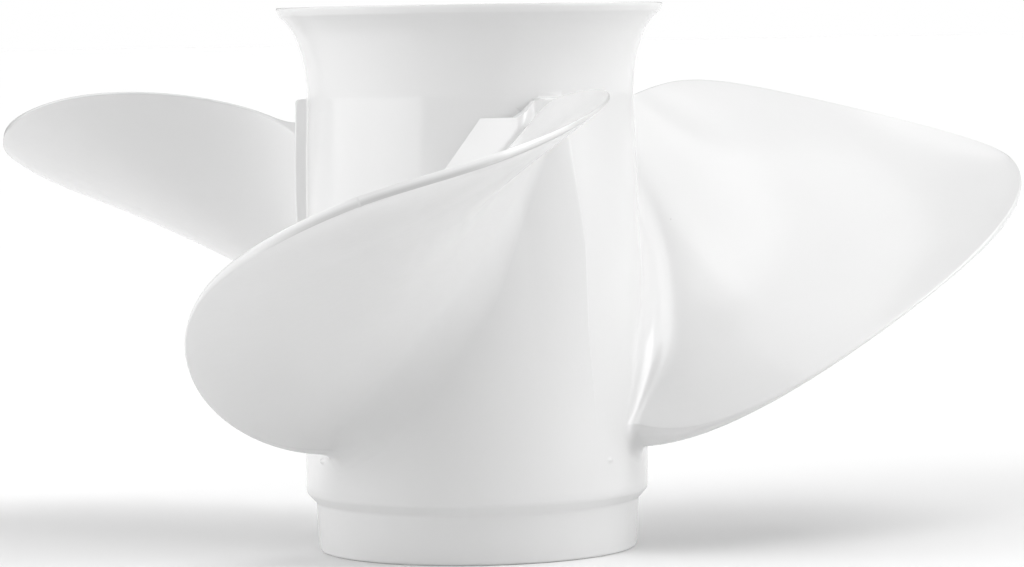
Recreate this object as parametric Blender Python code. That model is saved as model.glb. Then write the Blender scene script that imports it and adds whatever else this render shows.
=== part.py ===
# Three-blade outboard propeller with the exhaust led out through its hub.
# Metres, +Z up. It stands on its fore end; the flared aft end is at the top.
# The origin is on the shaft axis in the plane of the fore rim.
import math

import bmesh
import bpy
from mathutils import Vector

MM = 0.001

# hub barrel, outside: height above the fore rim, radius
RIM_Z = 139.5
SPIGOT = [(0.0, 40.4), (0.6, 41.0), (12.4, 41.6)]
WALL = [(15.4, 44.1), (24.0, 44.1), (62.0, 43.3), (100.0, 42.3), (116.5, 41.8)]
FLARE = [
    (118.5, 41.9),
    (121.5, 42.1),
    (126.0, 42.8),
    (130.0, 43.9),
    (133.3, 45.3),
    (135.8, 47.2),
    (137.4, 48.9),
    (138.4, 49.5),
    (139.2, 49.4),
    (RIM_Z, 48.9),
]

# passage through the barrel
PASSAGE_R = 38.2
MOUTH_R = 48.2
FLARE_INSIDE = [
    (98.0, PASSAGE_R),
    (114.0, PASSAGE_R),
    (122.0, 39.0),
    (128.0, 40.6),
    (133.0, 43.2),
    (136.5, 45.9),
    (138.6, 47.3),
    (RIM_Z + 0.1, MOUTH_R),
]
FORE_RECESS = 6.0
CLEAR = 6.0
TURNED_STEPS = 66
SMALL_STEPS = 48

# raised land on the barrel beside each blade root, which ends in an upright ledge
LAND_RISE = 3.2
LAND_LOW = 31.0
LAND_FULL = 100.0
LAND_TOP = 116.0
LAND_LEFT = 23.8
LAND_ROWS = [31.0, 43.0, 58.0, 70.0, 82.0, 92.0, 100.0, 108.0]
# height and azimuth of the ledge, in degrees
LEDGE = [
    (LAND_LOW, 44.5),
    (43.0, 43.0),
    (58.0, 40.6),
    (79.0, 39.0),
    (97.0, 35.0),
    (107.0, 33.2),
    (LAND_TOP, 33.0),
]
# columns beside the ledge: degrees past it, share of the rise
LEDGE_COLUMNS = [(-5.0, 1.0), (-1.5, 1.0), (-0.15, 0.95), (0.15, 0.3), (1.2, 0.0)]
COLUMN_PITCH = 6.0

# wedge-shaped pad between the pressure side and the barrel:
# azimuth in degrees and height of its upper edge
WEDGE_TOP = [(-26.0, 81.2), (3.6, 111.3), (14.5, 111.4), (18.0, 112.9), (21.5, 115.4), (25.0, 115.9)]
WEDGE_COLUMNS = [-25.0, -20.0, -14.0, -8.0, -2.0, 3.6, 9.0, 14.5, 18.0, 21.5, 25.0]
WEDGE_START_OVER = 14.0
WEDGE_SLOPE = math.tan(math.radians(33.0))
WEDGE_STEP_AT = 14.5
WEDGE_STEP_OVER = 7.0
WEDGE_RISE = 5.5
WEDGE_DEPTH = 24.0
WEDGE_ROWS = 4
WEDGE_FLOOR_R = 39.5
SINK = 0.12

# inner hub and its three ribs
HUB_R = 24.0
HUB_BORE_R = 20.0
HUB_LIP_R = 17.6
HUB_LIP = 4.0
HUB_AFT_Z = 98.0
RIB_HALF = 3.0
DUCT_R = 37.8
DUCT_CORNER = 2.4
DUCT_AFT_Z = 109.5
DUCT_ARC_STEPS = 14
CORNER_STEPS = 3

# rubber bush
GAP = 0.3
BUSH_OUT_R = HUB_BORE_R - GAP
BUSH_IN_R = 15.3
BUSH_FORE_Z = FORE_RECESS + HUB_LIP + GAP
BUSH_AFT_Z = 92.0
BUSH_CHAMFER = 1.5

# splined bronze sleeve
SLEEVE_R = 15.0
SLEEVE_FORE_Z = 5.0
SLEEVE_AFT_Z = 100.0
SLEEVE_CHAMFER = 0.5
SPLINE_TEETH = 13
SPLINE_ROOT_R = 12.9
SPLINE_TIP_R = 11.7
TOOTH_TIP_SHARE = 0.2
TOOTH_FOOT_SHARE = 0.28
THRUST_SEAT_R = 13.2
THRUST_SEAT = 2.0

# blades: share of the span, middle azimuth in degrees, middle height,
# half of the chord's turn in degrees, half of its rise
BLADES = 3
TIP_R = 155.0
ROOT_R = 42.5
OUTLINE_POWER = 1.5
STATIONS = [
    (0.0, -20.3, 65.2, 49.5, 39.6),
    (0.15, -18.6, 71.9, 37.7, 43.0),
    (0.35, -15.3, 79.1, 38.9, 43.6),
    (0.6, -10.3, 87.9, 38.0, 39.4),
    (0.8, -8.8, 92.4, 34.1, 32.8),
    (1.0, -8.8, 95.7, 25.4, 23.7),
]
EDGE_THICK = 1.5
ROOT_THICK = 11.0
TIP_THICK = 2.6
THICKNESS_FADE = 1.5
TIP_FULLNESS = 1.6
CHORD_FULLNESS = 0.75
CAMBER = 0.03
LEAD_THICK = 6.0
LEAD_THICK_FADE = 2.5
LEAD_SHARE_POWER = 10
LEAD_NOSE_SHARE = 0.6
TRAIL_NOSE = 0.3
SUCTION_FILLET = 12.0
PRESSURE_FILLET = 9.0
LEAD_FILLET = 3.5
TRAIL_FILLET = 1.5
LEAD_FILLET_SHARE = 0.25
LEAD_FILLET_GAIN = 7.5
TRAIL_FILLET_LOSS = 0.72
PRESSURE_LEAD_SHARE = 0.4
PRESSURE_LEAD_GAIN = 6.0
CHORD_STEPS = 16
ROOT_HEIGHTS = [-4.0, 0.0, 0.6, 1.8, 3.6, 6.0, 9.0, 15.0]
OUTER_SHARES = [0.22, 0.31, 0.4, 0.5, 0.6, 0.7, 0.8, 0.88, 0.94, 0.98, 0.9993]


def along(table, value):
    """Straight-line reading of a rising table of (position, reading) pairs."""
    if value <= table[0][0]:
        return table[0][1]
    for (a, fa), (b, fb) in zip(table, table[1:]):
        if value <= b:
            return fa + (fb - fa) * (value - a) / (b - a)
    return table[-1][1]


def ease(t):
    t = min(1.0, max(0.0, t))
    return t * t * (3 - 2 * t)


def polar(radius, azimuth, z):
    """Azimuth 0 faces -Y; it grows toward +X."""
    return Vector((radius * math.sin(azimuth), -radius * math.cos(azimuth), z)) * MM


def station_curve(column, u):
    """Smooth reading of one column of the blade's stations at a share of the span."""
    total = 0.0
    for row in STATIONS:
        weight = 1.0
        for other in STATIONS:
            if other is not row:
                weight *= (u - other[0]) / (row[0] - other[0])
        total += row[column] * weight
    return total


def blade_edges(u):
    """Leading and trailing edge at the share u of the span: azimuth in radians, height in mm."""
    taper = math.sqrt(max(0.0, 1 - u**OUTLINE_POWER))
    middle = math.radians(station_curve(1, u))
    height = station_curve(2, u)
    turn = math.radians(station_curve(3, u)) * taper
    rise = station_curve(4, u) * taper
    return (middle - turn, height - rise), (middle + turn, height + rise), taper


def fillet(radius, height):
    """Sideways reach of a quarter-round fillet at a height above the surface that it runs into."""
    if height >= radius:
        return 0.0
    h = max(0.0, height)
    return radius - math.sqrt(radius**2 - (radius - h) ** 2)


def land_rise(z):
    return LAND_RISE * ease((z - LAND_LOW) / (LAND_FULL - LAND_LOW))


def blade_section(height, azimuth0):
    """Closed ring of points round the blade at one height above the barrel."""
    u = max(0.0, height / (TIP_R - ROOT_R))
    radius = ROOT_R + height
    (lead_a, lead_z), (trail_a, trail_z), taper = blade_edges(u)
    across = radius * (trail_a - lead_a)
    up = trail_z - lead_z
    chord = math.hypot(across, up)
    dir_a, dir_z = across / chord, up / chord
    norm_a, norm_z = dir_z, -dir_a  # toward the fore, the suction side
    full = TIP_THICK + (ROOT_THICK - TIP_THICK) * (1 - u) ** THICKNESS_FADE
    thick = EDGE_THICK + (full - EDGE_THICK) * min(1.0, taper * TIP_FULLNESS)
    lead_thick = EDGE_THICK + (LEAD_THICK - EDGE_THICK) * (1 - u) ** LEAD_THICK_FADE
    lead_nose = min(LEAD_NOSE_SHARE * lead_thick, chord / 4)
    trail_nose = min(TRAIL_NOSE, chord / 4)
    lead_reach = fillet(LEAD_FILLET, height)
    trail_reach = fillet(TRAIL_FILLET, height)

    def at(place, off):
        azimuth = lead_a + (place * dir_a + off * norm_a) / radius
        z = lead_z + place * dir_z + off * norm_z
        barrel = along(WALL, z) - ROOT_R
        return polar(radius + barrel * (1 - u) ** 2, azimuth + azimuth0, z)

    suction_row, pressure_row = [], []
    for i in range(CHORD_STEPS + 1):
        s = 0.5 - 0.5 * math.cos(math.pi * i / CHORD_STEPS)
        bow = 4 * s * (1 - s)
        half = 0.5 * EDGE_THICK + 0.5 * (thick - EDGE_THICK) * bow**CHORD_FULLNESS
        half += 0.5 * (lead_thick - EDGE_THICK) * (1 - s) ** LEAD_SHARE_POWER
        middle = CAMBER * chord * bow
        width = min(1.0, LEAD_FILLET_SHARE + LEAD_FILLET_GAIN * s) * (1 - TRAIL_FILLET_LOSS * s**1.5)
        pressure_width = min(1.0, PRESSURE_LEAD_SHARE + PRESSURE_LEAD_GAIN * s)
        base = land_rise(lead_z + s * up)
        suction = half + fillet(SUCTION_FILLET * width, height - base)
        pressure = half + fillet(PRESSURE_FILLET * pressure_width, height)
        place = lead_nose + s * (chord - lead_nose - trail_nose) - lead_reach * (1 - s) + trail_reach * s
        suction_row.append(at(place, middle + suction))
        pressure_row.append(at(place, middle - pressure))
    lead = at(-lead_reach, 0.0)
    trail = at(chord + trail_reach, 0.0)
    return [lead] + suction_row + [trail] + pressure_row[::-1]


def skin(name, rings, collection):
    """Closed mesh through a run of rings of equal point count, with flat end caps."""
    bm = bmesh.new()
    loops = [[bm.verts.new(p) for p in ring] for ring in rings]
    count = len(rings[0])
    for a, b in zip(loops, loops[1:]):
        for i in range(count):
            j = (i + 1) % count
            bm.faces.new((a[i], a[j], b[j], b[i]))
    half = count // 2
    for loop in (loops[0], loops[-1]):
        for i in range(half - 1):
            bm.faces.new((loop[i], loop[i + 1], loop[count - 2 - i], loop[count - 1 - i]))
    bmesh.ops.recalc_face_normals(bm, faces=bm.faces)
    return add_mesh(name, bm, collection)


def add_mesh(name, bm, collection):
    mesh = bpy.data.meshes.new(name)
    bm.to_mesh(mesh)
    bm.free()
    obj = bpy.data.objects.new(name, mesh)
    collection.objects.link(obj)
    return obj


def join_rings(bm, a, b):
    """Faces between two rings; a ring of one point is the tip of a fan."""
    count = max(len(a), len(b))
    for i in range(count):
        j = (i + 1) % count
        if len(a) == 1:
            bm.faces.new((a[0], b[j], b[i]))
        elif len(b) == 1:
            bm.faces.new((a[i], a[j], b[0]))
        else:
            bm.faces.new((a[i], a[j], b[j], b[i]))


def revolve(name, profile, collection, steps=TURNED_STEPS, closed=False):
    """Turned body from (z, radius) pairs; an open profile is closed along the axis."""
    bm = bmesh.new()
    points = list(profile)
    if not closed:
        points = [(points[0][0], 0.0)] + points + [(points[-1][0], 0.0)]
    rings = []
    for z, radius in points:
        count = steps if radius > 0.0 else 1
        rings.append([bm.verts.new(polar(radius, 2 * math.pi * i / steps, z)) for i in range(count)])
    pairs = list(zip(rings, rings[1:]))
    if closed:
        pairs.append((rings[-1], rings[0]))
    for a, b in pairs:
        join_rings(bm, a, b)
    bmesh.ops.recalc_face_normals(bm, faces=bm.faces)
    return add_mesh(name, bm, collection)


def prism(name, outlines, z0, z1, collection):
    """Upright prisms, one for each outline of (x, y) points in mm."""
    bm = bmesh.new()
    for outline in outlines:
        low = [bm.verts.new(Vector((x, y, z0)) * MM) for x, y in outline]
        high = [bm.verts.new(Vector((x, y, z1)) * MM) for x, y in outline]
        count = len(outline)
        for i in range(count):
            j = (i + 1) % count
            bm.faces.new((low[i], low[j], high[j], high[i]))
        bm.faces.new(low[::-1])
        bm.faces.new(high)
    bmesh.ops.recalc_face_normals(bm, faces=bm.faces)
    return add_mesh(name, bm, collection)


def barrel_form(name, collection):
    """Solid barrel with its three raised lands; its columns of points follow the ledges."""
    sector = 360.0 / BLADES
    rows = [(z, radius, 0.0) for z, radius in SPIGOT + WALL[:2]]
    rows += [(z, along(WALL, z), 1.0) for z in LAND_ROWS + [LAND_TOP - 0.5]]
    rows += [(z, along(WALL, z), 0.0) for z in (LAND_TOP + 0.1,)]
    rows += [(z, radius, 0.0) for z, radius in FLARE]
    columns = list(LEDGE_COLUMNS)
    left_at_top = LAND_LEFT - LEDGE[-1][1] + sector
    past = LEDGE_COLUMNS[-1][0] + COLUMN_PITCH
    while past < left_at_top - 2.0:
        columns.append((past, 1.0))
        past += COLUMN_PITCH
    columns += [(left_at_top - 1.0, 1.0), (left_at_top + 1.0, 1.0)]

    bm = bmesh.new()
    rings = [[bm.verts.new(polar(0.0, 0.0, rows[0][0]))]]
    for z, radius, row_share in rows:
        ring = []
        for k in range(BLADES):
            for past, share in columns:
                azimuth = along(LEDGE, z) + past
                if past > LEDGE_COLUMNS[-1][0]:
                    share = ease((azimuth - sector - LAND_LEFT) / 2.0 + 0.5)
                where = math.radians(azimuth + sector * k)
                ring.append(bm.verts.new(polar(radius + land_rise(z) * row_share * share, where, z)))
        rings.append(ring)
    rings.append([bm.verts.new(polar(0.0, 0.0, rows[-1][0]))])
    for a, b in zip(rings, rings[1:]):
        join_rings(bm, a, b)
    bmesh.ops.recalc_face_normals(bm, faces=bm.faces)
    return add_mesh(name, bm, collection)


def chord_height(azimuth):
    """Height of the blade's root chord at an azimuth in degrees."""
    (lead_a, lead_z), (trail_a, trail_z), _ = blade_edges(0.0)
    return lead_z + (math.radians(azimuth) - lead_a) * (trail_z - lead_z) / (trail_a - lead_a)


def wedge_rise(azimuth, z):
    """Height of the wedge's sloping face above the barrel."""
    (foot_a, foot_z), (knee_a, knee_z) = WEDGE_TOP[:2]
    run = math.radians(knee_a - foot_a) * ROOT_R
    climb = knee_z - foot_z
    past_edge = (math.radians(azimuth - foot_a) * ROOT_R * climb - (z - foot_z) * run) / math.hypot(run, climb)
    rise = min(WEDGE_RISE, WEDGE_SLOPE * max(0.0, past_edge)) * ease((azimuth - foot_a) / WEDGE_START_OVER)
    return rise + (LAND_RISE - rise) * ease((azimuth - WEDGE_STEP_AT) / WEDGE_STEP_OVER)


def wedge(name, azimuth0, collection):
    """Pad on the pressure side of one blade root, with a flat end."""
    rings = []
    for azimuth in WEDGE_COLUMNS:
        top = along(WEDGE_TOP, azimuth)
        low = max(top - WEDGE_DEPTH, chord_height(azimuth) + 1.0)
        outer, inner = [], []
        for row in range(WEDGE_ROWS + 1):
            z = low + (top - low) * row / WEDGE_ROWS
            where = math.radians(azimuth) + azimuth0
            outer.append(polar(along(WALL, z) + wedge_rise(azimuth, z) - SINK, where, z))
            inner.append(polar(WEDGE_FLOOR_R, where, z))
        rings.append(outer + inner[::-1])
    return skin(name, rings, collection)


def duct_outline(azimuth0):
    """One exhaust duct between two ribs, with rounded corners."""
    half = math.pi / BLADES
    points = []

    def at(radius, azimuth):
        p = polar(radius, azimuth0 + azimuth, 0.0) / MM
        points.append((p.x, p.y))

    def limit(radius):
        return half - math.asin(RIB_HALF / radius)

    def arc(radius, sign):
        span = limit(radius) - DUCT_CORNER / radius
        for k in range(DUCT_ARC_STEPS + 1):
            at(radius, sign * span * (2 * k / DUCT_ARC_STEPS - 1))

    def corner(wall_r, inward, sign, steps):
        for k in steps:
            turn = 0.5 * math.pi * k / CORNER_STEPS
            radius = wall_r + inward * DUCT_CORNER * (1 - math.cos(turn))
            at(radius, sign * (limit(radius) - DUCT_CORNER * (1 - math.sin(turn)) / radius))

    away = range(1, CORNER_STEPS + 1)
    back = range(CORNER_STEPS, 0, -1)
    arc(DUCT_R, 1)
    corner(DUCT_R, -1, 1, away)
    corner(HUB_R, 1, 1, back)
    arc(HUB_R, -1)
    corner(HUB_R, 1, -1, away)
    corner(DUCT_R, -1, -1, back)
    return points


def cut(target, cutters, operation):
    for cutter in cutters:
        modifier = target.modifiers.new(cutter.name, "BOOLEAN")
        modifier.operation = operation
        modifier.solver = "EXACT"
        modifier.object = cutter


def hide(obj):
    obj.hide_render = True
    obj.display_type = "WIRE"


def material(name, colour, roughness, metallic):
    mat = bpy.data.materials.new(name)
    mat.use_nodes = True
    shader = mat.node_tree.nodes["Principled BSDF"]
    shader.inputs["Base Color"].default_value = (*colour, 1.0)
    shader.inputs["Roughness"].default_value = roughness
    shader.inputs["Metallic"].default_value = metallic
    return mat


def smooth(obj, angle):
    """Smooth shading, with edges sharper than the angle kept crisp."""
    mesh = obj.data
    bm = bmesh.new()
    bm.from_mesh(mesh)
    for face in bm.faces:
        face.smooth = True
    for edge in bm.edges:
        if len(edge.link_faces) == 2 and edge.calc_face_angle(0.0) > angle:
            edge.smooth = False
    bm.to_mesh(mesh)
    bm.free()


def casting(parts, cutters):
    """Barrel, blades, pads, inner hub and ribs, which the real object has in one casting."""
    body = barrel_form("propeller_casting", parts)
    heights = ROOT_HEIGHTS + [share * (TIP_R - ROOT_R) for share in OUTER_SHARES]
    joins = []
    for k in range(BLADES):
        turn = 2 * math.pi * k / BLADES
        joins.append(skin(f"blade_{k + 1}_form", [blade_section(h, turn) for h in heights], cutters))
        joins.append(wedge(f"root_pad_{k + 1}_form", turn, cutters))
    cut(body, joins, "UNION")

    mouth = revolve("aft_mouth_cutter", FLARE_INSIDE + [(RIM_Z + CLEAR, MOUTH_R)], cutters)
    recess = revolve("fore_recess_cutter", [(-CLEAR, PASSAGE_R), (FORE_RECESS, PASSAGE_R)], cutters)
    bore = revolve(
        "bush_bore_cutter",
        [
            (-CLEAR, HUB_LIP_R),
            (FORE_RECESS + HUB_LIP, HUB_LIP_R),
            (FORE_RECESS + HUB_LIP, HUB_BORE_R),
            (HUB_AFT_Z + CLEAR, HUB_BORE_R),
        ],
        cutters,
        steps=SMALL_STEPS,
    )
    outlines = [duct_outline((2 * k + 1) * math.pi / BLADES) for k in range(BLADES)]
    ducts = prism("duct_cutter", outlines, -CLEAR, DUCT_AFT_Z, cutters)
    cut(body, [ducts, mouth, recess, bore], "DIFFERENCE")
    for obj in joins + [mouth, recess, bore, ducts]:
        hide(obj)
    return body


def bush(parts):
    c = BUSH_CHAMFER
    return revolve(
        "rubber_bush",
        [
            (BUSH_FORE_Z, BUSH_IN_R),
            (BUSH_FORE_Z, BUSH_OUT_R - c),
            (BUSH_FORE_Z + c, BUSH_OUT_R),
            (BUSH_AFT_Z - c, BUSH_OUT_R),
            (BUSH_AFT_Z, BUSH_OUT_R - c),
            (BUSH_AFT_Z, BUSH_IN_R),
        ],
        parts,
        steps=SMALL_STEPS,
        closed=True,
    )


def spline_outline():
    """Hole with teeth that point inward, as (x, y) points in mm."""
    pitch = 2 * math.pi / SPLINE_TEETH
    tooth = [
        (-TOOTH_TIP_SHARE, SPLINE_TIP_R),
        (TOOTH_TIP_SHARE, SPLINE_TIP_R),
        (TOOTH_FOOT_SHARE, SPLINE_ROOT_R),
        (0.5, SPLINE_ROOT_R),
        (1.0 - TOOTH_FOOT_SHARE, SPLINE_ROOT_R),
    ]
    points = []
    for k in range(SPLINE_TEETH):
        for share, radius in tooth:
            angle = (k + share) * pitch
            points.append((radius * math.cos(angle), radius * math.sin(angle)))
    return points


def sleeve(parts, cutters):
    c = SLEEVE_CHAMFER
    body = revolve(
        "splined_sleeve",
        [
            (SLEEVE_FORE_Z, SLEEVE_R - c),
            (SLEEVE_FORE_Z + c, SLEEVE_R),
            (SLEEVE_AFT_Z - c, SLEEVE_R),
            (SLEEVE_AFT_Z, SLEEVE_R - c),
        ],
        parts,
        steps=SMALL_STEPS,
    )
    splines = prism("spline_cutter", [spline_outline()], SLEEVE_FORE_Z - CLEAR, SLEEVE_AFT_Z + CLEAR, cutters)
    seat = revolve(
        "thrust_seat_cutter",
        [
            (SLEEVE_FORE_Z - CLEAR, THRUST_SEAT_R),
            (SLEEVE_FORE_Z, THRUST_SEAT_R),
            (SLEEVE_FORE_Z + THRUST_SEAT, SPLINE_TIP_R),
        ],
        cutters,
        steps=SMALL_STEPS,
    )
    cut(body, [splines, seat], "DIFFERENCE")
    hide(splines)
    hide(seat)
    return body


def main():
    for obj in list(bpy.data.objects):
        bpy.data.objects.remove(obj)
    scene = bpy.context.scene
    parts = bpy.data.collections.new("outboard_propeller")
    cutters = bpy.data.collections.new("outboard_propeller_cutters")
    scene.collection.children.link(parts)
    scene.collection.children.link(cutters)

    body = casting(parts, cutters)
    body.data.materials.append(material("white_paint", (0.86, 0.86, 0.86), 0.22, 0.0))
    ring = bush(parts)
    ring.data.materials.append(material("black_rubber", (0.02, 0.02, 0.021), 0.75, 0.0))
    core = sleeve(parts, cutters)
    core.data.materials.append(material("bronze", (0.55, 0.38, 0.17), 0.38, 1.0))
    for obj in [body, ring, core] + list(cutters.objects):
        smooth(obj, math.radians(35))


main()
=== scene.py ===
# Looks for a white three-blade outboard propeller, standing on a plain pale floor.
import math

import bpy
from mathutils import Matrix, Vector
from mathutils.geometry import tessellate_polygon


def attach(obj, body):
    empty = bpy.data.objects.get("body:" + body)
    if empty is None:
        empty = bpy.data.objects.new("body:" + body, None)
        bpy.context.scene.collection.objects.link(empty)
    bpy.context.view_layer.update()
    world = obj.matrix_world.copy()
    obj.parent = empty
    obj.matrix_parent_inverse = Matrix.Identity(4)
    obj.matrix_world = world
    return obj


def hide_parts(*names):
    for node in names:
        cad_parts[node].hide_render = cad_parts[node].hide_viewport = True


MM = 0.001
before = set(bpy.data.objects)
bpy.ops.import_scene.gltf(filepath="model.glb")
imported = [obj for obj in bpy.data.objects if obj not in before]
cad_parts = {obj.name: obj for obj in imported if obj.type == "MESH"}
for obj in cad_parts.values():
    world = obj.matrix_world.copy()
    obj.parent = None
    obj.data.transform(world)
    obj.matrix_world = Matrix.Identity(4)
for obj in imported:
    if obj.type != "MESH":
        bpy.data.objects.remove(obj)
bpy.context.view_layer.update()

# outline of the barrel's wall: height above the fore rim and radius, in mm
SPIGOT = [(0.0, 39.0), (0.0, 40.2), (0.1, 40.6), (0.35, 40.85), (0.8, 41.0), (12.0, 41.6)]
STEP = [(12.5, 41.7), (12.9, 42.05), (14.7, 43.65), (15.1, 43.95), (15.7, 44.1)]
BARREL = [(15.7, 44.1), (24.0, 44.1), (62.0, 43.3), (100.0, 42.3), (116.5, 41.8)]
FLARE = [
    (116.5, 41.8),
    (121.5, 42.1),
    (126.0, 42.8),
    (130.0, 43.9),
    (133.3, 45.3),
    (135.8, 47.2),
    (137.4, 48.9),
]
LIP = [
    (138.5, 49.4),
    (139.2, 49.5),
    (139.42, 49.45),
    (139.5, 49.3),
    (139.5, 48.4),
    (139.3, 48.1),
    (138.6, 47.5),
]
FLARE_INSIDE = [(136.5, 45.9), (133.0, 43.2), (128.0, 40.6), (122.0, 39.0), (114.0, 38.2)]
PASSAGE_R = 38.2
FORE_CHAMFER = [(60.0, PASSAGE_R), (1.0, PASSAGE_R), (0.5, 38.35), (0.15, 38.65)]
ROW_PITCH = 1.6
FLARE_PARTS = 5
LIP_PARTS = 3
FLARE_ABOVE_LAND = 1.3

# raised land on the barrel beside each blade root: it ends in an upright ledge
LAND_RISE = 3.2
LAND_LOW = 31.0
LAND_FULL = 100.0
LAND_TOP = 116.0
LAND_LEFT = 23.8
LAND_LEFT_OVER = 1.2
LAND_LEAN = 0.6
LAND_LEAN_OVER = 20.0
LEDGE = [
    (LAND_LOW, 44.5),
    (43.0, 43.0),
    (58.0, 40.6),
    (79.0, 39.0),
    (97.0, 35.0),
    (107.0, 33.2),
    (LAND_TOP, 33.0),
]
# cross-section of the ledge: degrees past its edge, share of the rise
LEDGE_SECTION = [
    (-0.5, 1.0),
    (-0.3, 0.99),
    (-0.16, 0.96),
    (-0.06, 0.9),
    (0.0, 0.8),
    (0.05, 0.2),
    (0.12, 0.1),
    (0.25, 0.04),
    (0.45, 0.01),
    (0.7, 0.0),
]
# rows at the upright end of the land: mm above its top, share of the rise
TOP_SECTION = [
    (-0.9, 1.0),
    (-0.4, 0.98),
    (-0.15, 0.92),
    (0.0, 0.8),
    (0.05, 0.3),
    (0.25, 0.12),
    (0.6, 0.03),
    (1.1, 0.0),
]
TOP_SECTION_REACH = 1.5
# columns round the barrel, in degrees: wide ones, and fine ones where the land begins
COLUMN_PITCH = 1.5
COLUMN_MARGIN = 0.4
FINE_PITCH = 0.25
FINE_REACH = 1.6
LAND_COLUMNS = 60

# wedge-shaped pad between the pressure side and the barrel: azimuth in degrees and height in mm
# along its top edge, then its slope and sizes in mm
WEDGE_TOP = [(-18.0, 89.3), (3.6, 111.3), (14.5, 111.4), (18.0, 112.9), (21.5, 115.4), (25.0, 115.9)]
WEDGE_SLOPE = math.tan(math.radians(33.0))
WEDGE_RISE = 5.5
WEDGE_DEPTH = 24.0
WEDGE_START_OVER = 16.0
WEDGE_EDGE = 0.35
WEDGE_EDGE_STEPS = 3
WEDGE_ABOVE_CHORD = 1.0
WEDGE_SUNK = 1.0
WEDGE_COLUMNS = 72
WEDGE_ROWS = 20
# azimuths, in degrees, where its height begins to turn into the land's, how far that takes,
# and where the land is read
WEDGE_END_FROM = 14.5
WEDGE_END_OVER = 7.0
WEDGE_LAND_AT = 24.5

BLADES = 3
TIP_R = 155.0
ROOT_R = 42.5
OUTLINE_POWER = 1.5
# stations of a blade: share of the span, middle azimuth in degrees, middle height in mm,
# half of the chord's turn in degrees, half of its rise in mm
STATIONS = [
    (0.0, -15.0, 67.1, 41.0, 39.6),
    (0.15, -18.6, 71.9, 37.7, 43.0),
    (0.35, -15.3, 79.1, 38.9, 43.6),
    (0.6, -10.3, 87.9, 38.0, 39.4),
    (0.8, -8.8, 92.4, 34.1, 32.8),
    (1.0, -8.8, 95.7, 25.4, 23.7),
]
# thickness of a blade in mm, and how it changes along the span and the chord
EDGE_THICK = 0.8
RIM_THICK = 2.3
RIM_FROM = 0.65
RIM_OVER = 0.3
ROOT_THICK = 10.0
TIP_THICK = 2.6
THICK_FADE = 1.5
TAPER_GAIN = 1.6
BOW_POWER = 0.75
REAR_LOSS = 0.7
REAR_LOSS_FADE = 3
LEAD_THICK = 7.5
LEAD_THICK_FADE = 7
LEAD_THICK_POWER = 10
CAMBER = 0.03

# root fillets in mm, and how their width changes from the leading edge to the trailing edge
SUCTION_FILLET = 9.0
PRESSURE_FILLET = 10.0
LEAD_FILLET = 3.0
TRAIL_FILLET = 1.5
FILLET_LEAD_SHARE = 0.5
FILLET_LEAD_GAIN = 5.0
FILLET_TRAIL_LOSS = 0.6
FILLET_TRAIL_POWER = 1.5
PRESSURE_LEAD_SHARE = 0.25
PRESSURE_LEAD_OVER = 0.28
LAND_FADE = 16.0

# noses of the two edges: length, and how square they get toward the rim
LEAD_NOSE_SHARE = 0.6
TRAIL_NOSE = 0.4
SQUARE_POWER = 0.6
TRAIL_SQUARE_FROM = 0.55
TRAIL_SQUARE_OVER = 0.35
LEAD_SQUARE_FROM = 0.88
LEAD_SQUARE_OVER = 0.12

# painted shade along the edges of the blades' rims, a grey mixed into the white: shares of the span, of
# the nose and of the shade
PAINTED_RIM_SHADE = (0.5, 0.5, 0.5)
RIM_SHADE_NOSE_SHARE = 0.56
RIM_SHADE_NOSE_OVER = 0.12
RIM_SHADE_NOSE_FROM = 0.6
RIM_SHADE_NOSE_SPAN = 0.3
RIM_SHADE_INNER = 0.3
RIM_SHADE_FROM = 0.7
RIM_SHADE_OVER = 0.18
RIM_SHADE_TIP = 0.9
RIM_SHADE_TIP_FROM = 0.9
RIM_SHADE_TIP_OVER = 0.1

# mesh of a blade: rows close together in the band of the root fillets, then wider
NOSE_STEPS = 12
CHORD_STEPS = 96
SPAN_STEPS = 84
ROOT_BAND = 18.0
ROOT_BAND_ROWS = 26
ROOT_ROW_POWER = 1.8
ROOT_SUNK = 2.0
TIP_END = 0.99999

# small cast nub before each leading-edge root: azimuth from its blade in degrees, height, rise in mm
NUBS = [(-62.0, 24.8, 0.6), (-70.0, 24.6, 0.3), (-66.0, 24.6, 0.4)]
NUB_R = 0.9
NUB_LENGTH = 1.6
NUB_SPREAD = 1.3
NUB_FALL = 3.0
NUB_SUNK = 0.004
NUB_RINGS = 8
NUB_TURNS = 24

# inner hub and ribs, in mm
FORE_RECESS = 6.0
HUB_R = 24.0
HUB_BORE_R = 20.0
HUB_LIP_R = 17.6
HUB_LIP = 4.0
HUB_AFT_Z = 98.0
RIB_HALF = 3.0
DUCT_R = 37.8
DUCT_CORNER = 2.4
WALL_R = 39.5
RIB_ROUND = 0.8
BORE_ROUND = 0.6
ARC_STEPS = 40
ROUND_STEPS = 6
EDGE_STEPS = 4
BORE_STEPS = 144

# finishes: two shades, lowest and highest roughness, grains per metre; then the clouds of
# colour and of gloss per metre, and the depth of the grain in metres
PAINT_SHADES = ((0.715, 0.715, 0.715), (0.735, 0.735, 0.735))
PAINT_ROUGHNESS = (0.14, 0.2)
PAINT_GRAIN = 420.0
RUBBER_SHADES = ((0.018, 0.018, 0.019), (0.03, 0.03, 0.032))
RUBBER_ROUGHNESS = (0.62, 0.8)
RUBBER_GRAIN = 900.0
BRONZE_SHADES = ((0.5, 0.34, 0.15), (0.6, 0.43, 0.21))
BRONZE_ROUGHNESS = (0.28, 0.45)
BRONZE_GRAIN = 1500.0
CLOUD_SCALE = 34.0
SMEAR_SCALE = 90.0
GRAIN_DEPTH = 0.00002
# pinholes in the paint: cells per metre, radius in mm, and the share of cells without one
PINHOLE_SCALE = 70.0
PINHOLE_R = 0.2
PINHOLE_RARITY = 0.55
PINHOLE_SHADE = (0.4, 0.39, 0.38)

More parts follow.
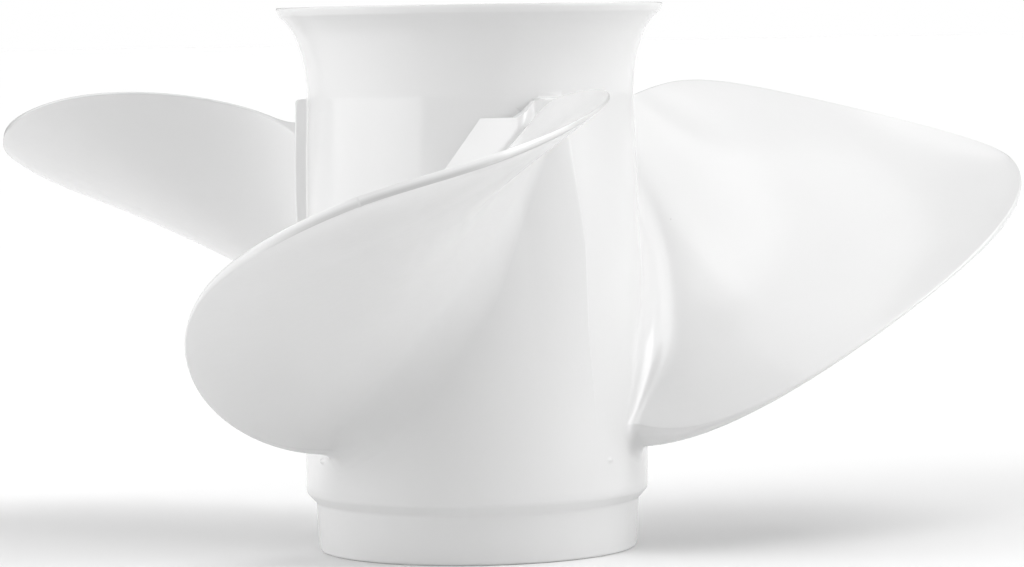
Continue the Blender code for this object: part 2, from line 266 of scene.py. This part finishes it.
# studio light: for each band of the sky, its lower border in degrees of elevation, and the
# azimuths in degrees where its panels begin, each with its brightness
BAND_SOFT = 2.0
SKY = [
    (
        -10.0,
        [
            (-180, 0.3),
            (-112, 1.8),
            (-75, 2.4),
            (-34.5, 0.0),
            (56, 3.9),
            (72, 2.4),
            (90, 1.0),
            (105, 0.4),
        ],
    ),
    (
        13.0,
        [
            (-180, 0.1),
            (-112, 2.3),
            (-34.5, 0.0),
            (25, 0.3),
            (66, 6.0),
            (84, 5.0),
            (104, 0.9),
            (135, 0.1),
        ],
    ),
    (
        32.0,
        [
            (-180, 0.5),
            (-120, 0.0),
            (-75, 3.0),
            (-45, 3.8),
            (-15, 0.6),
            (25, 0.0),
            (66, 2.3),
            (90, 1.3),
            (112, 0.8),
            (145, 0.3),
        ],
    ),
    (
        53.0,
        [
            (-180, 1.4),
            (-90, 0.0),
            (-30, 1.5),
            (30, 3.2),
            (90, 2.3),
            (140, 1.3),
        ],
    ),
]
SKY_SCALE = 8.0
FLOOR_HALF = 60.0
FLOOR_SHADE = 0.82
FLOOR_ROUGHNESS = 0.8
FLOOR_SHINE = 0.2

# camera: focal length in pixels of a picture of this width, place and aim in mm
FOCAL_PX = 4170.0
IMAGE_W = 1024
SENSOR_W = 36.0
CAMERA_AT = (9.8, -1072.0, 132.7)
CAMERA_AIM = (9.8, 0.0, 67.8)
CAMERA_ROLL = math.radians(0.97)


def along(table, value):
    """Straight-line reading of a rising table of (position, reading) pairs."""
    if value <= table[0][0]:
        return table[0][1]
    for (a, fa), (b, fb) in zip(table, table[1:]):
        if value <= b:
            return fa + (fb - fa) * (value - a) / (b - a)
    return table[-1][1]


def ease(t):
    """Smooth step from 0 to 1."""
    t = min(1.0, max(0.0, t))
    return t * t * (3 - 2 * t)


def risen(value, start, over):
    """Smooth step that begins at the start and takes some length."""
    return ease((value - start) / over)


def polar(radius, azimuth, z):
    """Azimuth 0 faces -Y; it grows toward +X."""
    return (radius * math.sin(azimuth) * MM, -radius * math.cos(azimuth) * MM, z * MM)


def rounded(points, parts):
    """The points of a smooth curve through a list of points, with some steps between each two."""
    out = []
    for i in range(len(points) - 1):
        p0 = points[max(0, i - 1)]
        p1, p2 = points[i], points[i + 1]
        p3 = points[min(len(points) - 1, i + 2)]
        for k in range(parts):
            t = k / parts
            point = []
            for a, b, c, d in zip(p0, p1, p2, p3):
                square = 2 * a - 5 * b + 4 * c - d
                cube = 3 * b - a - 3 * c + d
                point.append(0.5 * (2 * b + (c - a) * t + square * t**2 + cube * t**3))
            out.append(tuple(point))
    out.append(points[-1])
    return out


def mesh_piece(name, points, faces, material, sharp=None):
    """New object that rides on the part; sharp is the angle in degrees from which edges stay crisp."""
    mesh = bpy.data.meshes.new(name)
    mesh.from_pydata(points, [], faces)
    mesh.validate()
    mesh.shade_smooth()
    if sharp is not None:
        mesh.set_sharp_from_angle(angle=math.radians(sharp))
    mesh.materials.append(material)
    piece = bpy.data.objects.new(name, mesh)
    bpy.context.scene.collection.objects.link(piece)
    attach(piece, "root")
    return piece


def grid_faces(rows, columns, wrap_rows=False, wrap_columns=False):
    """Four-sided faces between the points of a grid, listed row by row."""
    faces = []
    for i in range(rows if wrap_rows else rows - 1):
        for j in range(columns if wrap_columns else columns - 1):
            a = i * columns + j
            b = i * columns + (j + 1) % columns
            c = ((i + 1) % rows) * columns + (j + 1) % columns
            d = ((i + 1) % rows) * columns + j
            faces.append((a, b, c, d))
    return faces


def station_curve(column, u):
    """Smooth reading of one column of the blade's stations at a share of the span."""
    total = 0.0
    for i, row in enumerate(STATIONS):
        weight = 1.0
        for j, other in enumerate(STATIONS):
            if j != i:
                weight *= (u - other[0]) / (row[0] - other[0])
        total += row[column] * weight
    return total


def blade_edges(u):
    """Leading and trailing edge at the share u of the span: azimuth in radians, height in mm."""
    taper = math.sqrt(max(0.0, 1 - u**OUTLINE_POWER))
    middle = math.radians(station_curve(1, u))
    height = station_curve(2, u)
    turn = math.radians(station_curve(3, u)) * taper
    rise = station_curve(4, u) * taper
    return (middle - turn, height - rise), (middle + turn, height + rise), taper


def fillet(radius, height):
    """Sideways reach of a quarter-round fillet at a height above the surface that it runs into."""
    if height >= radius:
        return 0.0
    h = max(0.0, height)
    return radius - math.sqrt(radius**2 - (radius - h) ** 2)


def root_azimuth(z):
    """Azimuth in degrees of the blade's root chord at a height."""
    _, middle, height, turn, rise = STATIONS[0]
    return middle + turn * (z - height) / rise


def land_height(azimuth, z, left=0.0):
    """Height of the raised land above the barrel; left is its least share beyond the root line."""
    lean = LAND_LEAN * min(1.0, max(0.0, (along(LEDGE, z) - azimuth) / LAND_LEAN_OVER))
    limit = min(root_azimuth(z), LAND_LEFT)
    left = max(left, ease((azimuth - limit) / LAND_LEFT_OVER + 0.5))
    return LAND_RISE * risen(z, LAND_LOW, LAND_FULL - LAND_LOW) * left * (1 - lean)


def blade_section(height, azimuth0):
    """Closed ring of points round the blade at one height above the barrel."""
    u = max(0.0, height / (TIP_R - ROOT_R))
    radius = ROOT_R + height
    (lead_a, lead_z), (trail_a, trail_z), taper = blade_edges(u)
    across = radius * (trail_a - lead_a)
    up = trail_z - lead_z
    chord = math.hypot(across, up)
    dir_a, dir_z = across / chord, up / chord
    norm_a, norm_z = dir_z, -dir_a
    full = TIP_THICK + (ROOT_THICK - TIP_THICK) * (1 - u) ** THICK_FADE
    edge_thick = EDGE_THICK + (RIM_THICK - EDGE_THICK) * risen(u, RIM_FROM, RIM_OVER)
    thick = edge_thick + (full - edge_thick) * min(1.0, taper * TAPER_GAIN)
    lead_thick = edge_thick + (LEAD_THICK - edge_thick) * (1 - u) ** LEAD_THICK_FADE
    lead_nose = min(LEAD_NOSE_SHARE * lead_thick, chord / 4)
    trail_nose = min(TRAIL_NOSE, chord / 4)
    lead_reach = fillet(LEAD_FILLET, height)
    trail_reach = fillet(TRAIL_FILLET, height)
    fade = max(0.0, 1 - max(0.0, height) / LAND_FADE)
    ring = []

    def add(place, off, side):
        """Point at a place along the chord and off it; side is 1 on the suction side, 0 on the other."""
        azimuth = lead_a + (place * dir_a + off * norm_a) / radius
        z = lead_z + place * dir_z + off * norm_z
        lift = land_height(math.degrees(azimuth), z, side) * fade if z < LAND_TOP else 0.0
        barrel = along(BARREL, z) - ROOT_R
        ring.append(polar(radius + lift + barrel * (1 - u) ** 2, azimuth + azimuth0, z))

    def offsets(s):
        """Place along the chord at its share s, and how far both sides lie off the chord."""
        bow = 4 * s * (1 - s)
        rear = 1 - REAR_LOSS * ease(2 * s - 1) * (1 - u) ** REAR_LOSS_FADE
        half = 0.5 * (edge_thick + (thick - edge_thick) * rear * bow**BOW_POWER)
        half += 0.5 * (lead_thick - edge_thick) * (1 - s) ** LEAD_THICK_POWER
        middle = CAMBER * chord * bow
        width = min(1.0, FILLET_LEAD_SHARE + FILLET_LEAD_GAIN * s)
        width = width * (1 - FILLET_TRAIL_LOSS * s**FILLET_TRAIL_POWER) * rear
        suction = half + fillet(SUCTION_FILLET * width, height)
        full_width = ease(s / PRESSURE_LEAD_OVER)
        pressure_width = PRESSURE_LEAD_SHARE + (1 - PRESSURE_LEAD_SHARE) * full_width
        pressure = half + fillet(PRESSURE_FILLET * pressure_width, height)
        place = lead_nose + s * (chord - lead_nose - trail_nose)
        place = place - lead_reach * (1 - s) + trail_reach * s
        return place, middle + suction, middle - pressure

    shares = [0.5 - 0.5 * math.cos(math.pi * i / CHORD_STEPS) for i in range(CHORD_STEPS + 1)]
    for s in shares:
        place, suction, _ = offsets(s)
        add(place, suction, 1.0)
    trail_power = 1 - (1 - SQUARE_POWER) * risen(u, TRAIL_SQUARE_FROM, TRAIL_SQUARE_OVER)
    lead_power = 1 - (1 - SQUARE_POWER) * risen(u, LEAD_SQUARE_FROM, LEAD_SQUARE_OVER)
    for end, nose, power in ((1.0, trail_nose, trail_power), (0.0, -lead_nose, lead_power)):
        place, suction, pressure = offsets(end)
        centre = 0.5 * (suction + pressure)
        half = 0.5 * (suction - pressure)
        sign = 1 if end else -1
        for k in range(1, NOSE_STEPS):
            angle = math.pi * k / NOSE_STEPS
            cross = sign * math.copysign(abs(math.cos(angle)) ** power, math.cos(angle))
            add(place + nose * math.sin(angle) ** power, centre + half * cross, 0.5 + 0.5 * cross)
        if end:
            for s in shares[::-1]:
                place, _, pressure = offsets(s)
                add(place, pressure, 0.0)
    return ring


def painted_rim_shade(piece, heights, count):
    """Give each point of a blade its share of the painted shade along the edges of the rim."""
    span = TIP_R - ROOT_R
    rim_shade = piece.data.attributes.new("painted_rim_shade", "FLOAT", "POINT")
    for row, height in enumerate(heights):
        u = height / span
        at_tip = RIM_SHADE_TIP * risen(u, RIM_SHADE_TIP_FROM, RIM_SHADE_TIP_OVER)
        reach = 1 - (1 - RIM_SHADE_NOSE_SHARE) * risen(u, RIM_SHADE_NOSE_FROM, RIM_SHADE_NOSE_SPAN)
        strength = RIM_SHADE_INNER + (1 - RIM_SHADE_INNER) * risen(u, RIM_SHADE_FROM, RIM_SHADE_OVER)
        for k in range(1, NOSE_STEPS):
            share = strength * ease((reach - k / NOSE_STEPS) / RIM_SHADE_NOSE_OVER)
            rim_shade.data[row * count + CHORD_STEPS + k].value = share
            rim_shade.data[(row + 1) * count - k].value = share * at_tip
    # the flat cap at the tip gets the painted shade too
    for j in range(CHORD_STEPS + 1):
        rim_shade.data[(len(heights) - 1) * count + j].value = RIM_SHADE_TIP


def blade(index, material):
    azimuth0 = 2 * math.pi * index / BLADES
    span = TIP_R - ROOT_R
    wide_rows = SPAN_STEPS - ROOT_BAND_ROWS
    heights = [-ROOT_SUNK]
    heights += [ROOT_BAND * (k / ROOT_BAND_ROWS) ** ROOT_ROW_POWER for k in range(ROOT_BAND_ROWS)]
    for k in range(wide_rows + 1):
        share = math.sin(0.5 * math.pi * k / wide_rows)
        heights.append(ROOT_BAND + (span * TIP_END - ROOT_BAND) * share)
    rings = [blade_section(h, azimuth0) for h in heights]
    count = len(rings[0])
    points = [p for ring in rings for p in ring]
    faces = grid_faces(len(heights), count, wrap_columns=True)
    faces.append(tuple((len(heights) - 1) * count + j for j in range(count)))
    piece = mesh_piece(f"blade_{index + 1}", points, faces, material, sharp=50)
    painted_rim_shade(piece, heights, count)
    return piece


def chord_height(a):
    """Height of the blade's root chord at an azimuth in degrees."""
    _, middle, height, turn, rise = STATIONS[0]
    return height + rise * (a - middle) / turn


def wedge(index, material):
    """Pad on the pressure side of one blade root, with a flat end."""
    azimuth0 = 2 * math.pi * index / BLADES
    (foot_a, foot_z), (knee_a, knee_z) = WEDGE_TOP[:2]
    run = math.radians(knee_a - foot_a) * ROOT_R
    slant = math.hypot(run, knee_z - foot_z)
    points = []
    for j in range(WEDGE_COLUMNS + 1):
        a = foot_a + (WEDGE_TOP[-1][0] - foot_a) * j / WEDGE_COLUMNS
        top = along(WEDGE_TOP, a)
        low = max(top - WEDGE_DEPTH, chord_height(a) + WEDGE_ABOVE_CHORD)
        line = []
        for i in range(WEDGE_ROWS + 1):
            z = low + (top - low) * math.sin(0.5 * math.pi * i / WEDGE_ROWS)
            off = math.radians(a - foot_a) * ROOT_R * (knee_z - foot_z)
            off = (off - (z - foot_z) * run) / slant
            rise = min(WEDGE_RISE, WEDGE_SLOPE * max(0.0, off)) * risen(a, foot_a, WEDGE_START_OVER)
            at_end = risen(a, WEDGE_END_FROM, WEDGE_END_OVER)
            rise += (land_height(WEDGE_LAND_AT, z) - rise) * at_end
            line.append((z, rise))
        rise = line[-1][1]
        edge = min(WEDGE_EDGE, rise)
        line[-1] = (top - edge, rise)
        for k in range(1, WEDGE_EDGE_STEPS + 1):
            angle = 0.5 * math.pi * k / WEDGE_EDGE_STEPS
            line.append((top - edge * (1 - math.sin(angle)), rise - edge * (1 - math.cos(angle))))
        line.append((top, -WEDGE_SUNK))
        for z, rise in line:
            points.append(polar(along(BARREL, z) + rise, math.radians(a) + azimuth0, z))
    rows = WEDGE_ROWS + WEDGE_EDGE_STEPS + 2
    faces = [face[::-1] for face in grid_faces(WEDGE_COLUMNS + 1, rows)]
    return mesh_piece(f"root_pad_{index + 1}", points, faces, material, sharp=50)


def outer_rows():
    """Rows of the barrel's outside: height, radius, share of the land's rise."""
    rows = []
    wall_low = BARREL[0][0]
    wall_high = LAND_TOP - TOP_SECTION_REACH
    steps = round((wall_high - wall_low) / ROW_PITCH)
    for k in range(steps + 1):
        z = wall_low + (wall_high - wall_low) * k / steps
        rows.append((z, along(BARREL, z), 1.0))
    for above, share in TOP_SECTION:
        z = LAND_TOP + above
        rows.append((z, along(BARREL, z), share))
    return rows


def barrel_columns():
    """Columns over the third of the barrel that ends at a ledge: degrees from the ledge before, share."""
    turn = 360.0 / BLADES
    left = LAND_LEFT - LEDGE[-1][1] + turn
    columns = []
    c = LEDGE_SECTION[-1][0] + COLUMN_MARGIN
    while c < turn + LEDGE_SECTION[0][0] - COLUMN_MARGIN:
        columns.append((c, 1.0 if c > left - LAND_COLUMNS else 0.0))
        c += FINE_PITCH if abs(c - left) < FINE_REACH else COLUMN_PITCH
    return columns + [(turn + c, share) for c, share in LEDGE_SECTION]


def barrel(material):
    """Exhaust barrel with its spigot, step, lands, flare and smooth inside."""
    rows = [(z, r, 0.0) for z, r in SPIGOT + STEP[:-1]]
    rows += outer_rows()
    flare = [(z, r) for z, r in rounded(FLARE, FLARE_PARTS) if z > LAND_TOP + FLARE_ABOVE_LAND]
    lip = rounded([FLARE[-1]] + LIP + [FLARE_INSIDE[0]], LIP_PARTS)[1:-1]
    inside = rounded(FLARE_INSIDE, FLARE_PARTS) + FORE_CHAMFER
    rows += [(z, r, 0.0) for z, r in flare + lip + inside]

    columns = barrel_columns()
    points = []
    for z, radius, top_share in rows:
        ledge = along(LEDGE, z)
        for k in range(BLADES):
            for c, share in columns:
                a = ledge + c - 360.0 / BLADES
                rise = land_height(a, z) * top_share * share
                where = math.radians(a) + 2 * math.pi * k / BLADES
                points.append(polar(radius + rise, where, z))
    faces = grid_faces(len(rows), BLADES * len(columns), wrap_rows=True, wrap_columns=True)
    return mesh_piece("exhaust_barrel", points, faces, material, sharp=45)


def nub(index, material):
    """Low round bump, a little longer than high, left by the die."""
    azimuth, height, top = NUBS[index]
    centre = math.radians(azimuth) + 2 * math.pi * index / BLADES
    points = []
    for i in range(NUB_RINGS + 1):
        share = NUB_SPREAD * (1 - i / NUB_RINGS)
        rise = top * math.exp(-NUB_FALL * share**2) - NUB_SUNK
        for j in range(NUB_TURNS):
            turn = 2 * math.pi * j / NUB_TURNS
            z = height + NUB_R * share * math.sin(turn)
            where = centre + NUB_LENGTH * NUB_R * share * math.cos(turn) / BARREL[0][1]
            points.append(polar(along(BARREL, z) + rise, where, z))
    faces = grid_faces(NUB_RINGS + 1, NUB_TURNS, wrap_columns=True)
    return mesh_piece(f"cast_nub_{index + 1}", points, faces, material)


def duct_outline(azimuth0, grow):
    """Plan of one exhaust duct between two ribs; grow moves it outward into the metal."""
    outer_r = DUCT_R + grow
    inner_r = HUB_R - grow
    rib = RIB_HALF - grow
    turn_r = DUCT_CORNER + grow
    points = []

    def limit(radius):
        return math.pi / BLADES - math.asin(rib / radius)

    def arc(radius, sign):
        span = limit(radius) - turn_r / radius
        for k in range(ARC_STEPS + 1):
            points.append((radius, azimuth0 + sign * span * (2 * k / ARC_STEPS - 1)))

    def corner(wall_r, inward, sign, steps):
        for k in steps:
            turn = 0.5 * math.pi * k / ROUND_STEPS
            radius = wall_r + inward * turn_r * (1 - math.cos(turn))
            side = limit(radius) - turn_r * (1 - math.sin(turn)) / radius
            points.append((radius, azimuth0 + sign * side))

    away = range(1, ROUND_STEPS + 1)
    back = range(ROUND_STEPS, 0, -1)
    arc(outer_r, 1)
    corner(outer_r, -1, 1, away)
    corner(inner_r, 1, 1, back)
    arc(inner_r, -1)
    corner(inner_r, 1, -1, away)
    corner(outer_r, -1, -1, back)
    return points


def edge_run(low, high, rounding):
    """Heights up a wall between two faces, each with how far the rounding moves it into the metal."""
    turns = [0.5 * math.pi * k / EDGE_STEPS for k in range(EDGE_STEPS + 1)]
    up = [(low + rounding * (1 - math.cos(t)), rounding * (1 - math.sin(t))) for t in turns]
    down = [(high - rounding * (1 - math.cos(t)), rounding * (1 - math.sin(t))) for t in turns[::-1]]
    return up + down


def inner_hub(material):
    """Hub with its bore and the three ribs that carry it."""
    points = []
    faces = []
    ends = ([], [])

    def wall(rings, flip):
        """Faces up one wall; its first and last ring are kept as borders of the two end faces."""
        start = len(points)
        count = len(rings[0])
        for ring in rings:
            points.extend(ring)
        for a, b, c, d in grid_faces(len(rings), count, wrap_columns=True):
            face = (start + a, start + b, start + c, start + d)
            faces.append(face[::-1] if flip else face)
        ends[0].append(list(range(start, start + count)))
        ends[1].append(list(range(len(points) - count, len(points))))

    for k in range(BLADES):
        middle = (2 * k + 1) * math.pi / BLADES
        run = edge_run(FORE_RECESS, HUB_AFT_Z, RIB_ROUND)
        wall([[polar(r, a, z) for r, a in duct_outline(middle, grow)] for z, grow in run], False)
    turns = [2 * math.pi * k / BORE_STEPS for k in range(BORE_STEPS)]
    lip_z = FORE_RECESS + HUB_LIP
    lip = [(z, HUB_LIP_R + grow) for z, grow in edge_run(FORE_RECESS, lip_z, BORE_ROUND)]
    bore_run = edge_run(lip_z, HUB_AFT_Z, BORE_ROUND)[EDGE_STEPS + 1 :]
    bore = [(z, HUB_BORE_R + grow) for z, grow in bore_run]
    foot = [(lip_z, HUB_BORE_R)]
    wall([[polar(r, a, z) for a in turns] for z, r in lip + foot + bore], True)
    wall([[polar(WALL_R, a, z) for a in turns] for z in (FORE_RECESS, HUB_AFT_Z)], False)

    for end, flip in ((0, True), (1, False)):
        loops = ends[end][::-1]
        flat = [i for loop in loops for i in loop]
        for tri in tessellate_polygon([[Vector(points[i]) for i in loop] for loop in loops]):
            a, b, c = (flat[i] for i in tri)
            pa, pb, pc = (Vector(points[i]) for i in (a, b, c))
            up = (pb - pa).cross(pc - pa).z > 0
            faces.append((a, b, c) if up != flip else (a, c, b))
    return mesh_piece("inner_hub_and_ribs", points, faces, material, sharp=40)


def add_node(mat, kind, **settings):
    """New node; settings named input_ and a socket fill that input, the others set its properties."""
    node = mat.node_tree.nodes.new(kind)
    for key, value in settings.items():
        if key.startswith("input_"):
            node.inputs[key.removeprefix("input_")].default_value = value
        else:
            setattr(node, key, value)
    return node


def surface(name, shades, roughness, grain, metallic=0.0):
    """Material with a clouded colour, an uneven gloss and a fine relief."""
    mat = bpy.data.materials.new(name)
    mat.use_nodes = True
    links = mat.node_tree.links
    shader = mat.node_tree.nodes["Principled BSDF"]
    shader.inputs["Metallic"].default_value = metallic
    place = add_node(mat, "ShaderNodeTexCoord").outputs["Object"]

    clouds = add_node(mat, "ShaderNodeTexNoise", input_Scale=CLOUD_SCALE, input_Detail=4.0)
    links.new(place, clouds.inputs["Vector"])
    colour = add_node(mat, "ShaderNodeMix", data_type="RGBA")
    colour.inputs["A"].default_value = (*shades[0], 1.0)
    colour.inputs["B"].default_value = (*shades[1], 1.0)
    links.new(clouds.outputs["Fac"], colour.inputs["Factor"])
    links.new(colour.outputs["Result"], shader.inputs["Base Color"])

    smears = add_node(mat, "ShaderNodeTexNoise", input_Scale=SMEAR_SCALE, input_Detail=3.0)
    links.new(place, smears.inputs["Vector"])
    gloss = add_node(mat, "ShaderNodeMapRange")
    gloss.inputs["To Min"].default_value = roughness[0]
    gloss.inputs["To Max"].default_value = roughness[1]
    links.new(smears.outputs["Fac"], gloss.inputs["Value"])
    links.new(gloss.outputs["Result"], shader.inputs["Roughness"])

    relief = add_node(mat, "ShaderNodeTexNoise", input_Scale=grain, input_Detail=2.0)
    links.new(place, relief.inputs["Vector"])
    bump = add_node(mat, "ShaderNodeBump", input_Strength=1.0, input_Distance=GRAIN_DEPTH)
    links.new(relief.outputs["Fac"], bump.inputs["Height"])
    links.new(bump.outputs["Normal"], shader.inputs["Normal"])
    return mat, shader, place, colour


def white_paint():
    """Gloss white with a little orange peel, a few dark pinholes, and a grey of painted shade along the
    edges of the rims.
    """
    mat, shader, place, colour = surface("white_paint_gloss", PAINT_SHADES, PAINT_ROUGHNESS, PAINT_GRAIN)
    links = mat.node_tree.links
    cells = add_node(mat, "ShaderNodeTexVoronoi", input_Scale=PINHOLE_SCALE)
    links.new(place, cells.inputs["Vector"])
    near = add_node(mat, "ShaderNodeMath", operation="LESS_THAN")
    near.inputs[1].default_value = PINHOLE_R * MM * PINHOLE_SCALE
    links.new(cells.outputs["Distance"], near.inputs[0])
    lot = add_node(mat, "ShaderNodeSeparateColor")
    links.new(cells.outputs["Color"], lot.inputs["Color"])
    some = add_node(mat, "ShaderNodeMath", operation="GREATER_THAN")
    some.inputs[1].default_value = PINHOLE_RARITY
    links.new(lot.outputs["Red"], some.inputs[0])
    hole = add_node(mat, "ShaderNodeMath", operation="MULTIPLY")
    links.new(near.outputs[0], hole.inputs[0])
    links.new(some.outputs[0], hole.inputs[1])
    dark = add_node(mat, "ShaderNodeMix", data_type="RGBA")
    dark.inputs["B"].default_value = (*PINHOLE_SHADE, 1.0)
    links.new(hole.outputs[0], dark.inputs["Factor"])
    links.new(colour.outputs["Result"], dark.inputs["A"])
    # painted shade: the edges of the rims turn grey wherever the blades' attribute says so
    rim_shade = add_node(mat, "ShaderNodeAttribute", attribute_name="painted_rim_shade")
    edge = add_node(mat, "ShaderNodeMix", data_type="RGBA")
    edge.inputs["B"].default_value = (*PAINTED_RIM_SHADE, 1.0)
    links.new(rim_shade.outputs["Fac"], edge.inputs["Factor"])
    links.new(dark.outputs["Result"], edge.inputs["A"])
    links.new(edge.outputs["Result"], shader.inputs["Base Color"])
    return mat


paint = white_paint()
pieces = [barrel(paint), inner_hub(paint)]
for k in range(BLADES):
    pieces += [blade(k, paint), wedge(k, paint), nub(k, paint)]
for piece in pieces:
    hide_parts("propeller_casting")
rubber = surface("black_rubber_matt", RUBBER_SHADES, RUBBER_ROUGHNESS, RUBBER_GRAIN)[0]
bronze = surface("machined_bronze", BRONZE_SHADES, BRONZE_ROUGHNESS, BRONZE_GRAIN, metallic=1.0)[0]
for node, finish in (("rubber_bush", rubber), ("splined_sleeve", bronze)):
    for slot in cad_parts[node].material_slots:
        slot.material = finish


def look_along(at, aim, roll):
    """Camera matrix for a lens at one point, aimed at another, turned about its own axis."""
    ahead = (Vector(aim) - Vector(at)).normalized()
    right = ahead.cross(Vector((0, 0, 1))).normalized()
    up = right.cross(ahead)
    turned_right = math.cos(roll) * right - math.sin(roll) * up
    turned_up = math.sin(roll) * right + math.cos(roll) * up
    matrix = Matrix((turned_right, turned_up, -ahead)).transposed().to_4x4()
    matrix.translation = Vector(at) * MM
    return matrix


def camera():
    data = bpy.data.cameras.new("camera")
    data.sensor_width = SENSOR_W
    data.lens = FOCAL_PX / IMAGE_W * data.sensor_width
    data.clip_start = 0.05
    data.clip_end = 50.0
    obj = bpy.data.objects.new("camera", data)
    obj.matrix_world = look_along(CAMERA_AT, CAMERA_AIM, CAMERA_ROLL)
    bpy.context.scene.collection.objects.link(obj)
    bpy.context.scene.camera = obj


def floor():
    """Plain pale sheet under the propeller."""
    mesh = bpy.data.meshes.new("floor")
    half = FLOOR_HALF
    corners = [(-half, -half, 0), (half, -half, 0), (half, half, 0), (-half, half, 0)]
    mesh.from_pydata(corners, [], [(0, 1, 2, 3)])
    mat = bpy.data.materials.new("floor")
    mat.use_nodes = True
    shader = mat.node_tree.nodes["Principled BSDF"]
    shader.inputs["Base Color"].default_value = (FLOOR_SHADE, FLOOR_SHADE, FLOOR_SHADE, 1.0)
    shader.inputs["Roughness"].default_value = FLOOR_ROUGHNESS
    shader.inputs["Specular IOR Level"].default_value = FLOOR_SHINE
    mesh.materials.append(mat)
    obj = bpy.data.objects.new("floor", mesh)
    bpy.context.scene.collection.objects.link(obj)


def studio():
    """White room whose light comes from soft panels, each one a patch of the sky."""
    world = bpy.data.worlds.new("studio")
    world.use_nodes = True
    nodes = world.node_tree.nodes
    links = world.node_tree.links
    bpy.context.scene.world = world
    bpy.context.scene.view_settings.view_transform = "Standard"

    def step(operation, *inputs, clamp=False):
        """New math node; returns its output."""
        node = nodes.new("ShaderNodeMath")
        node.operation = operation
        node.use_clamp = clamp
        for socket, value in zip(node.inputs, inputs):
            if isinstance(value, (int, float)):
                socket.default_value = value
            else:
                links.new(value, socket)
        return node.outputs[0]

    place = nodes.new("ShaderNodeTexCoord")
    parts = nodes.new("ShaderNodeSeparateXYZ")
    links.new(place.outputs["Generated"], parts.inputs[0])
    azimuth = step("ARCTAN2", parts.outputs["X"], step("MULTIPLY", parts.outputs["Y"], -1.0))
    turn = step("MULTIPLY_ADD", azimuth, 0.5 / math.pi, 0.5)
    elevation = step("ARCSINE", parts.outputs["Z"])
    total = 0.0
    for low, strengths in SKY:
        ramp = nodes.new("ShaderNodeValToRGB")
        ramp.color_ramp.interpolation = "LINEAR"
        elements = ramp.color_ramp.elements
        first = elements[0]
        elements.remove(elements[1])
        level = strengths[0][1] / SKY_SCALE
        first.position = 0.0
        first.color = (level, level, level, 1.0)
        for border, strength in strengths[1:]:
            for side in (-1, 1):
                new_level = level if side < 0 else strength / SKY_SCALE
                stop = elements.new(0.5 + (border + side * BAND_SOFT / 2) / 360.0)
                stop.color = (new_level, new_level, new_level, 1.0)
            level = strength / SKY_SCALE
        links.new(turn, ramp.inputs["Fac"])
        band = step("MULTIPLY", ramp.outputs["Color"], SKY_SCALE)
        soft = math.radians(BAND_SOFT)
        past_border = step("SUBTRACT", elevation, math.radians(low) - soft / 2)
        above = step("DIVIDE", past_border, soft, clamp=True)
        total = step("MULTIPLY_ADD", above, step("SUBTRACT", band, total), total)
    glow = nodes["Background"]
    glow.inputs["Color"].default_value = (1.0, 1.0, 1.0, 1.0)
    links.new(total, glow.inputs["Strength"])
    white = nodes.new("ShaderNodeBackground")
    white.inputs["Color"].default_value = (1.0, 1.0, 1.0, 1.0)
    seen = nodes.new("ShaderNodeLightPath")
    mix = nodes.new("ShaderNodeMixShader")
    links.new(seen.outputs["Is Camera Ray"], mix.inputs["Fac"])
    links.new(glow.outputs[0], mix.inputs[1])
    links.new(white.outputs[0], mix.inputs[2])
    links.new(mix.outputs[0], nodes["World Output"].inputs["Surface"])


camera()
floor()
studio()
